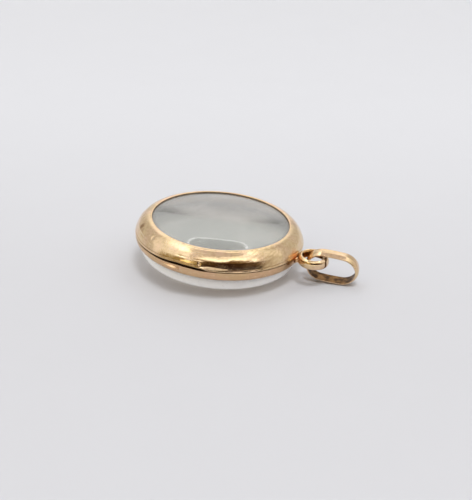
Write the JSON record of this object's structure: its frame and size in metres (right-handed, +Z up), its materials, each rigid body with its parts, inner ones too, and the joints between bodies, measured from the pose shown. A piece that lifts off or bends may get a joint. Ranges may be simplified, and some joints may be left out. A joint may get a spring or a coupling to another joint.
{
  "type": "reliquary locket",
  "caption": "Round gold-framed locket with a domed crystal on both faces, a hinged front, a thumb lip, an eye ring and a flat elongated bail.",
  "frame": {"origin": "middle of the small level seat on the underside of the back crystal, where the lying locket meets the surface", "axes": "+X from the case towards the eye ring and the bail, +Z up from the surface it lies on"},
  "size_m": [0.0336, 0.0264, 0.0084],
  "materials": {
    "front_gold": "polished warm yellow gold",
    "back_gold": "polished warm yellow gold",
    "bail_gold": "polished warm yellow gold",
    "pin_gold": "satin warm yellow gold",
    "front_glass": "clear polished crystal",
    "back_glass": "clear polished crystal"
  },
  "bodies": {
    "back_half": {"back_bezel": "back_gold", "back_crystal": "back_glass", "hinge_pin": "pin_gold", "bail": "bail_gold"},
    "front_half": {"front_bezel": "front_gold", "front_crystal": "front_glass"}
  },
  "joints": [
    {"name": "front_hinge", "type": "hinge", "parent": "back_half", "child": "front_half", "pos_m": [-0.00512, 0.01255, 0.00534], "axis": [-0.9487, -0.309, 0.0663], "range_deg": [0, 110]}
  ]
}
